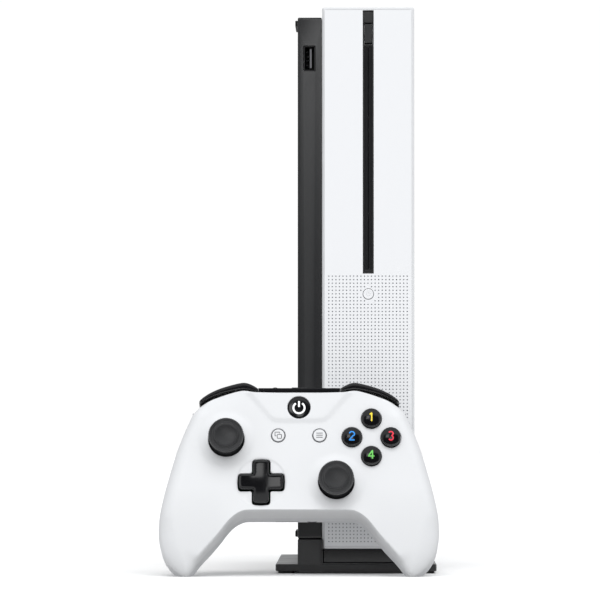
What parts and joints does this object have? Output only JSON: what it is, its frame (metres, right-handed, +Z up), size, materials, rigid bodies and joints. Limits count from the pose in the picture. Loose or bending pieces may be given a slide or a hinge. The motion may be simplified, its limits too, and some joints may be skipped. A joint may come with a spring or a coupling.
{
  "type": "game console with controller",
  "caption": "Slim light game console standing on edge in a dark stand, with a two-grip wireless controller leaning against its front.",
  "frame": {"origin": "on the floor, in the middle of the footprint", "axes": "+X to the right, +Y away from the player through the console's depth, +Z up"},
  "size_m": [0.1496, 0.2994, 0.3084],
  "materials": {
    "shell_white": "fine-grained satin white plastic",
    "body_black": "satin near-black plastic",
    "gloss_black": "glossy black plastic",
    "stick_black": "matt black rubber-skinned plastic",
    "pad_rubber": "matt black rubber",
    "dome_rubber": "grey silicone rubber",
    "button_black": "gloss black with a coloured figure under a clear dome",
    "steel": "plain steel",
    "aluminium": "extruded fins",
    "board": "green solder mask",
    "module": "moulded dark plastic",
    "nylon": "natural nylon",
    "cell": "printed sleeve without words"
  },
  "bodies": {
    "stand": {"stand_base": "body_black", "stand_cradle": "gloss_black", "stand_pads": "pad_rubber"},
    "console": {"top_cover": "shell_white", "front_panel": "shell_white", "base_cover": "body_black", "rear_panel": "body_black", "slot_bezel": "body_black", "front_usb_port": "steel", "console_feet": "pad_rubber", "rear_sockets": "steel", "steel_chassis": "steel", "chassis_screws": "steel", "main_board": "board", "heat_sink": "aluminium", "fan_frame": "module", "power_supply": "steel", "hard_drive": "aluminium", "disc_drive_case": "steel"},
    "controller": {"front_shell": "shell_white", "rear_shell": "shell_white", "left_grip_panel": "shell_white", "right_grip_panel": "shell_white", "batteries": "cell", "controller_board": "board", "rubber_domes": "dome_rubber", "stick_bases": "module", "top_bridge": "gloss_black", "trigger_pins": "steel", "rumble_motors": "steel"},
    "battery_door": {"battery_door": "shell_white"},
    "direction_pad": {"direction_pad": "gloss_black"},
    "direction_pad_pivot": {"direction_pad_pivot": "nylon"},
    "disc_spindle": {"disc_spindle": "module"},
    "eject_button": {"eject_button": "body_black"},
    "face_button_bottom": {"face_button_bottom": "button_black"},
    "face_button_left": {"face_button_left": "button_black"},
    "face_button_right": {"face_button_right": "button_black"},
    "face_button_top": {"face_button_top": "button_black"},
    "fan_rotor": {"fan_rotor": "module"},
    "feed_roller": {"feed_roller": "pad_rubber"},
    "guide_button": {"guide_button": "gloss_black"},
    "left_bumper": {"left_bumper": "gloss_black"},
    "left_rumble_weight": {"left_rumble_weight": "steel"},
    "left_stick": {"left_stick": "stick_black"},
    "left_stick_rocker": {"left_stick_rocker": "nylon"},
    "left_stick_yoke": {"left_stick_yoke": "nylon"},
    "left_trigger": {"left_trigger": "gloss_black"},
    "menu_button": {"menu_button": "gloss_black"},
    "optical_sled": {"optical_sled": "module"},
    "pair_button": {"pair_button": "gloss_black"},
    "pairing_button": {"pairing_button": "body_black"},
    "power_button": {"power_button": "shell_white"},
    "right_bumper": {"right_bumper": "gloss_black"},
    "right_rumble_weight": {"right_rumble_weight": "steel"},
    "right_stick": {"right_stick": "stick_black"},
    "right_stick_rocker": {"right_stick_rocker": "nylon"},
    "right_stick_yoke": {"right_stick_yoke": "nylon"},
    "right_trigger": {"right_trigger": "gloss_black"},
    "view_button": {"view_button": "gloss_black"}
  },
  "joints": [
    {"name": "controller_lift", "type": "slide", "parent": "stand", "child": "controller", "axis": [0, 0, 1], "range_m": [0, 0.12]},
    {"name": "right_trigger_pull", "type": "hinge", "parent": "controller", "child": "right_trigger", "pos_m": [0.041, -0.10695, 0.08433], "axis": [-1, 0, 0], "range_deg": [0, 17], "stiffness_Nm_per_rad": 0.05, "springref_deg": -17.19},
    {"name": "left_trigger_pull", "type": "hinge", "parent": "controller", "child": "left_trigger", "pos_m": [-0.041, -0.10695, 0.08433], "axis": [-1, 0, 0], "range_deg": [0, 17], "stiffness_Nm_per_rad": 0.05, "springref_deg": -17.19},
    {"name": "left_stick_up_down", "type": "hinge", "parent": "controller", "child": "left_stick_yoke", "pos_m": [-0.0387, -0.12194, 0.07053], "axis": [1, 0, 0], "range_deg": [-18, 18], "stiffness_Nm_per_rad": 0.1},
    {"name": "left_stick_side", "type": "hinge", "parent": "left_stick_yoke", "child": "left_stick_rocker", "pos_m": [-0.0387, -0.12194, 0.07053], "axis": [0, 0.2756, 0.9613], "range_deg": [-18, 18], "stiffness_Nm_per_rad": 0.1},
    {"name": "left_stick_click", "type": "slide", "parent": "left_stick_rocker", "child": "left_stick", "axis": [0, 0.9613, -0.2756], "range_m": [0, 0.0008], "stiffness_N_per_m": 1500, "springref_m": -0.001},
    {"name": "right_stick_up_down", "type": "hinge", "parent": "controller", "child": "right_stick_yoke", "pos_m": [0.02, -0.12841, 0.04794], "axis": [1, 0, 0], "range_deg": [-18, 18], "stiffness_Nm_per_rad": 0.1},
    {"name": "right_stick_side", "type": "hinge", "parent": "right_stick_yoke", "child": "right_stick_rocker", "pos_m": [0.02, -0.12841, 0.04794], "axis": [0, 0.2756, 0.9613], "range_deg": [-18, 18], "stiffness_Nm_per_rad": 0.1},
    {"name": "right_stick_click", "type": "slide", "parent": "right_stick_rocker", "child": "right_stick", "axis": [0, 0.9613, -0.2756], "range_m": [0, 0.0008], "stiffness_N_per_m": 1500, "springref_m": -0.001},
    {"name": "direction_pad_up_down", "type": "hinge", "parent": "controller", "child": "direction_pad_pivot", "pos_m": [-0.02, -0.13091, 0.04866], "axis": [1, 0, 0], "range_deg": [-5, 5], "stiffness_Nm_per_rad": 0.2},
    {"name": "direction_pad_side", "type": "hinge", "parent": "direction_pad_pivot", "child": "direction_pad", "pos_m": [-0.02, -0.13091, 0.04866], "axis": [0, 0.2756, 0.9613], "range_deg": [-5, 5], "stiffness_Nm_per_rad": 0.2},
    {"name": "face_button_top_press", "type": "slide", "parent": "controller", "child": "face_button_top", "axis": [0, 0.9613, -0.2756], "range_m": [0, 0.0014], "stiffness_N_per_m": 300, "springref_m": -0.001},
    {"name": "face_button_right_press", "type": "slide", "parent": "controller", "child": "face_button_right", "axis": [0, 0.9613, -0.2756], "range_m": [0, 0.0014], "stiffness_N_per_m": 300, "springref_m": -0.001},
    {"name": "face_button_bottom_press", "type": "slide", "parent": "controller", "child": "face_button_bottom", "axis": [0, 0.9613, -0.2756], "range_m": [0, 0.0014], "stiffness_N_per_m": 300, "springref_m": -0.001},
    {"name": "face_button_left_press", "type": "slide", "parent": "controller", "child": "face_button_left", "axis": [0, 0.9613, -0.2756], "range_m": [0, 0.0014], "stiffness_N_per_m": 300, "springref_m": -0.001},
    {"name": "guide_button_press", "type": "slide", "parent": "controller", "child": "guide_button", "axis": [0, 0.9613, -0.2756], "range_m": [0, 0.0008], "stiffness_N_per_m": 300, "springref_m": -0.001},
    {"name": "view_button_press", "type": "slide", "parent": "controller", "child": "view_button", "axis": [0, 0.9613, -0.2756], "range_m": [0, 0.0008], "stiffness_N_per_m": 300, "springref_m": -0.001},
    {"name": "menu_button_press", "type": "slide", "parent": "controller", "child": "menu_button", "axis": [0, 0.9613, -0.2756], "range_m": [0, 0.0008], "stiffness_N_per_m": 300, "springref_m": -0.001},
    {"name": "right_bumper_press", "type": "hinge", "parent": "controller", "child": "right_bumper", "pos_m": [0.0215, -0.11181, 0.09821], "axis": [0, 0.9613, -0.2756], "range_deg": [0, 1.2], "stiffness_Nm_per_rad": 1, "springref_deg": -1.15},
    {"name": "left_bumper_press", "type": "hinge", "parent": "controller", "child": "left_bumper", "pos_m": [-0.0215, -0.11181, 0.09821], "axis": [0, -0.9613, 0.2756], "range_deg": [0, 1.2], "stiffness_Nm_per_rad": 1, "springref_deg": -1.15},
    {"name": "battery_door_off", "type": "slide", "parent": "controller", "child": "battery_door", "axis": [0, 0.9613, -0.2756], "range_m": [0, 0.012]},
    {"name": "console_lift", "type": "slide", "parent": "stand", "child": "console", "axis": [0, 0, 1], "range_m": [0, 0.06]},
    {"name": "eject_press", "type": "slide", "parent": "console", "child": "eject_button", "axis": [0, 1, 0], "range_m": [0, 0.001], "stiffness_N_per_m": 300, "springref_m": -0.001},
    {"name": "power_press", "type": "slide", "parent": "console", "child": "power_button", "axis": [0, 1, 0], "range_m": [0, 0.0008], "stiffness_N_per_m": 300, "springref_m": -0.001},
    {"name": "pairing_press", "type": "slide", "parent": "console", "child": "pairing_button", "axis": [0, 1, 0], "range_m": [0, 0.0008], "stiffness_N_per_m": 300, "springref_m": -0.001},
    {"name": "pair_press", "type": "slide", "parent": "controller", "child": "pair_button", "axis": [0, -0.2756, -0.9613], "range_m": [0, 0.0008], "stiffness_N_per_m": 300, "springref_m": -0.001},
    {"name": "fan_spin", "type": "hinge", "parent": "console", "child": "fan_rotor", "pos_m": [0.04375, 0.066, 0.0884], "axis": [1, 0, 0], "continuous": true},
    {"name": "roller_spin", "type": "hinge", "parent": "console", "child": "feed_roller", "pos_m": [0.0328, -0.063, 0.2264], "axis": [0, 0, 1], "continuous": true},
    {"name": "spindle_spin", "type": "hinge", "parent": "console", "child": "disc_spindle", "pos_m": [0.0342, 0.012, 0.2251], "axis": [1, 0, 0], "continuous": true},
    {"name": "sled_travel", "type": "slide", "parent": "console", "child": "optical_sled", "axis": [0, 0, -1], "range_m": [0, 0.025]},
    {"name": "left_weight_spin", "type": "hinge", "parent": "controller", "child": "left_rumble_weight", "pos_m": [-0.0637, -0.11998, 0.02981], "axis": [1, 0, 0], "continuous": true},
    {"name": "right_weight_spin", "type": "hinge", "parent": "controller", "child": "right_rumble_weight", "pos_m": [0.0637, -0.11998, 0.02981], "axis": [1, 0, 0], "continuous": true}
  ]
}
